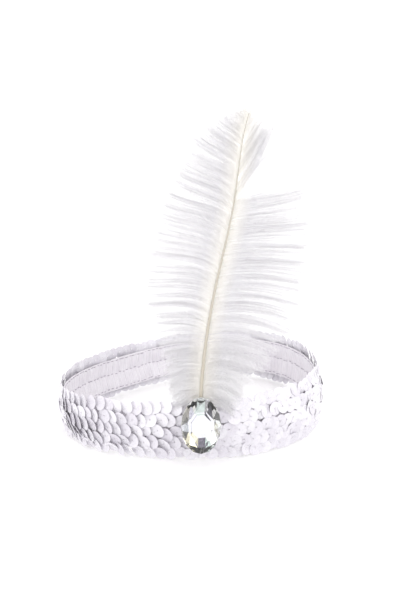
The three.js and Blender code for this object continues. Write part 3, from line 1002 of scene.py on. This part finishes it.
def grow_barbs(table, side, pitch, spread=curl_spread, ragged=1.0):
    """Controls of a row of barbs over the table's shares, and each barb's share of the way up."""
    low, high = table[0][0], table[-1][0]
    visible = (high - low) * (shaft_length - bare_quill)
    count = round(visible / pitch)
    share = low + (high - low) * (np.arange(count) + chance.random(count) * 0.9) / count
    share = share[chance.random(count) < crossing(table, side, share)]
    count = len(share)
    steps = chance.uniform(*lock_pitch, math.ceil(visible / lock_pitch[0]))
    locks = low + (high - low) * np.concatenate([[0], np.cumsum(steps) / visible])
    locks = locks[locks < high]
    nearest = np.abs(share[:, None] - locks[None]).argmin(1)
    lock_reach = chance.normal(1, lock_spread[0] * ragged, len(locks))
    lock_turn = chance.normal(0, lock_spread[1] * ragged, len(locks))
    lock_curl = curl_back + chance.normal(0, spread, len(locks))
    reach = lock_reach[nearest] * np.minimum(chance.normal(1, barb_spread[0] * ragged, count), longest_share)
    turn = chance.normal(0, barb_spread[1] * ragged, count)
    back = lock_curl[nearest] + chance.normal(0, barb_spread[2], count)
    own = barb_controls(table, side, share, reach, turn, back)
    led = barb_controls(table, side, locks, lock_reach, lock_turn, lock_curl)[nearest]
    own[:, 3] += lock_pull * (led[:, 3] - own[:, 3])
    own[:, 2] += inner_pull * lock_pull * (led[:, 2] - own[:, 2])
    return own, share


def on_curve(controls, t):
    t = t[..., None]
    a, b, c, d = (controls[..., k, :] for k in range(4))
    place = (1 - t) ** 3 * a + 3 * t * (1 - t) ** 2 * b + 3 * t**2 * (1 - t) * c + t**3 * d
    way = (1 - t) ** 2 * (b - a) + 2 * t * (1 - t) * (c - b) + t**2 * (d - c)
    return place, unit(way)


# %% [markdown]
# A barb is a thin flat blade that tapers to its tip and is turned a little about its own line. A barbule is
# a flat needle of four triangles, and a barb has about a hundred. Low on the plume they are loose like down.

# %% Stems and barbules
barb_radius = 0.27
blade_flatness = 0.22  # thickness as a share of the width
blade_turn = 20.0
barb_stations = 10
barbule_pitch = 0.5
barbule_length = 3.7
barbule_radius = 0.06
barbule_slant = (40, 10)  # degrees away from the barb, and their spread
barbule_roll = 6  # degrees out of the plume's plane, and twice that in down
down_slant = 12  # degrees more in down
down_growth = 0.4  # longer by this share in down
barbule_reach = (0.7, 1.15)  # shortest and longest, as shares of the usual
short_barb = (0.22, 0.6)  # no barbule is longer than this share of its barb and this many mm more
down_share = 0.3  # below this share of the way up, the barbules turn to down


def cross_axes(way):
    """Two directions square to each way, the first of them in the plume's own plane."""
    first = unit(np.cross(way, np.array([0.0, 1.0, 0.0])))
    return first, np.cross(way, first)


def barb_stems(controls):
    """Points and triangles of the stems."""
    t = np.linspace(0, 1, barb_stations)
    place, way = on_curve(controls[:, None], np.broadcast_to(t, (len(controls), barb_stations)))
    across, back = cross_axes(way)
    turn = np.radians(chance.normal(0, blade_turn, len(controls)))[:, None, None]
    first = np.cos(turn) * across + np.sin(turn) * back
    second = blade_flatness * (np.cos(turn) * back - np.sin(turn) * across)
    radius = barb_radius * (1 - 0.8 * t**0.8)[None, :, None]
    angles = np.arange(3) * 2 * math.pi / 3
    rings = [place + radius * (math.cos(a) * first + math.sin(a) * second) for a in angles]
    points = np.stack(rings, 2).reshape(-1, 3)
    k = np.arange(3)
    step = np.arange(barb_stations - 1)[:, None] * 3
    low, low_next = step + k, step + (k + 1) % 3
    sides = np.stack([low, low_next, low_next + 3, low, low_next + 3, low + 3], -1).reshape(-1, 3)
    last = (barb_stations - 1) * 3
    faces = np.concatenate([sides, [[0, 2, 1], [last, last + 1, last + 2]]])
    faces = faces[None] + np.arange(len(controls))[:, None, None] * barb_stations * 3
    return points, faces.reshape(-1, 3)


def barbules(controls, share, pitch, loose=0.0):
    """Points and triangles of the needles on both sides of every barb."""
    length = np.linalg.norm(controls[:, 3] - controls[:, 0], axis=1)
    counts = np.maximum(4, (length / pitch).astype(int))
    owner = np.repeat(np.arange(len(controls)), counts)
    first_of = np.concatenate([[0], np.cumsum(counts)[:-1]])
    order = np.arange(len(owner)) - first_of[owner]
    t = (order + chance.random(len(owner))) / counts[owner]
    owner, t = np.tile(owner, 2), np.tile(t, 2)
    side = np.repeat([1.0, -1.0], len(owner) // 2)
    place, way = on_curve(controls[owner], t)
    first, second = cross_axes(way)
    downy = np.clip((down_share - share[owner]) / down_share, 0, 1) + loose
    slant = np.radians(chance.normal(*barbule_slant, len(owner)) + down_slant * downy)[:, None]
    roll = np.radians(chance.normal(0, barbule_roll, len(owner)) * (1 + downy))[:, None]
    outward = side[:, None] * np.cos(roll) * first + np.sin(roll) * second
    needle = np.cos(slant) * way + np.sin(slant) * outward
    # Short at the barb's root, longest after a sixth of the way, and short again at its tip.
    shape = np.minimum(1, 0.45 + 3.2 * t) * (1 - 0.6 * t**2)
    reach = barbule_length * shape * chance.uniform(*barbule_reach, len(owner)) * (1 + down_growth * downy)
    reach = np.minimum(reach, short_barb[0] * length[owner] + short_barb[1])
    u = unit(np.cross(needle, np.array([0.0, 1.0, 0.0])))
    v = blade_flatness * np.cross(needle, u)
    angles = np.arange(3) * 2 * math.pi / 3
    base = [place + barbule_radius * (math.cos(a) * u + math.sin(a) * v) for a in angles]
    points = np.stack([*base, place + reach[:, None] * needle], 1).reshape(-1, 3)
    faces = np.array([[0, 2, 1], [0, 1, 3], [1, 2, 3], [2, 0, 3]])
    faces = faces[None] + np.arange(len(owner))[:, None, None] * 4
    return points, faces.reshape(-1, 3)


# %% [markdown]
# Bleached down throws back nearly all its light, so it is matt white with a faint sheen. At the foot, where
# it is thick and shades itself, it is painted whiter, as painted light against that shade. It is a little
# creamy at the shaft, and cooler further out.

# %% Material: ostrich down
down, tree, surface = new_material("ostrich down", Roughness=0.9, IOR=1.3, Sheen_Weight=0.1)
from_shaft = add_node(tree, "ShaderNodeAttribute", attribute_name="from_shaft")
place = add_node(tree, "ShaderNodeTexCoord")
mottle = noise(tree, place.outputs["Object"], 1 / (5 * MM), 3.0)
height = add_node(tree, "ShaderNodeSeparateXYZ", {"Vector": place.outputs["Object"]})
# Painted light: below 45 mm, fading out by 75 mm, the down is painted whiter against the shade it casts on
# itself.
above_painted_foot_light = remap(tree, height.outputs["Z"], 0.045, 0.075)
barb_white = blend(tree, mottle, linear("#eae8ec"), linear("#f6f5f8"))
white_with_painted_foot_light = blend(tree, above_painted_foot_light, linear("#fcfbfd"), barb_white)
past_cream = remap(tree, from_shaft.outputs["Fac"], 1.0, 9.0)
tree.links.new(blend(tree, past_cream, linear("#faf7f1"), white_with_painted_foot_light), surface.inputs["Base Color"])


def plume_piece(name, controls, share, node, pitch, loose=0.0):
    stem_points, stem_faces = barb_stems(controls)
    needle_points, needle_faces = barbules(controls, share, pitch, loose)
    points = np.concatenate([stem_points, needle_points])
    faces = np.concatenate([stem_faces, needle_faces + len(stem_points)])
    piece = mesh_piece(name, points * MM, faces.ravel(), np.arange(len(faces)) * 3)
    beside = np.interp(points[:, 2], shaft_line[:, 2], shaft_line[:, 0])
    attribute = piece.data.attributes.new("from_shaft", "FLOAT", "POINT")
    attribute.data.foreach_set("value", np.abs(points[:, 0] - beside).astype(np.float32))
    finish_piece(piece, down, "barbs", node)


# %% [markdown]
# Each side of the plume is one mesh of all its stems and needles. The stray barbs join the right side.

# %% Grow the plume
stray_share = np.array([row[0] for row in stray_barbs])
even = np.ones(len(stray_barbs))
strays = barb_controls(stray_barbs, 1, stray_share, even, 0 * even, curl_back * even)
for name, table, side, node in (
    ("barbs_left", left_barbs, -1, "feather_vane_left"),
    ("barbs_right", right_barbs, 1, "feather_vane_right"),
):
    controls, share = grow_barbs(table, side, barb_pitch)
    if side > 0:
        controls, share = np.concatenate([controls, strays]), np.concatenate([share, stray_share])
    plume_piece(name, controls, share, node, barbule_pitch)

# %% [markdown]
# The foot of the plume has a second layer of short loose down, which reaches further on the right.

# %% Thicken the foot with down
down_barb_pitch = 0.6
down_barbule_pitch = 0.8
for name, side, node, longer in (
    ("down_left", -1, "feather_vane_left", 1),
    ("down_right", 1, "feather_vane_right", 1.2),
):
    table = [(share, reach * longer, *ways) for share, reach, *ways in down_barbs]
    controls, share = grow_barbs(table, side, down_barb_pitch, spread=0.25, ragged=2.0)
    plume_piece(name, controls, share, node, down_barbule_pitch, loose=0.2)

# %% [markdown]
# ## Sizes and the end
# The imported model's box and the dressed model's box are both printed, in millimetres. The dressed model
# has to stay inside the imported one, apart from what cloth may stand proud.

# %% Print the sizes
boxes = {"cad": [list(corner) for corner in cad_box], "visual": [list(corner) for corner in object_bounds()]}
for name, box in boxes.items():
    print(name, "box in mm:", [[round(c / MM, 1) for c in corner] for corner in box])
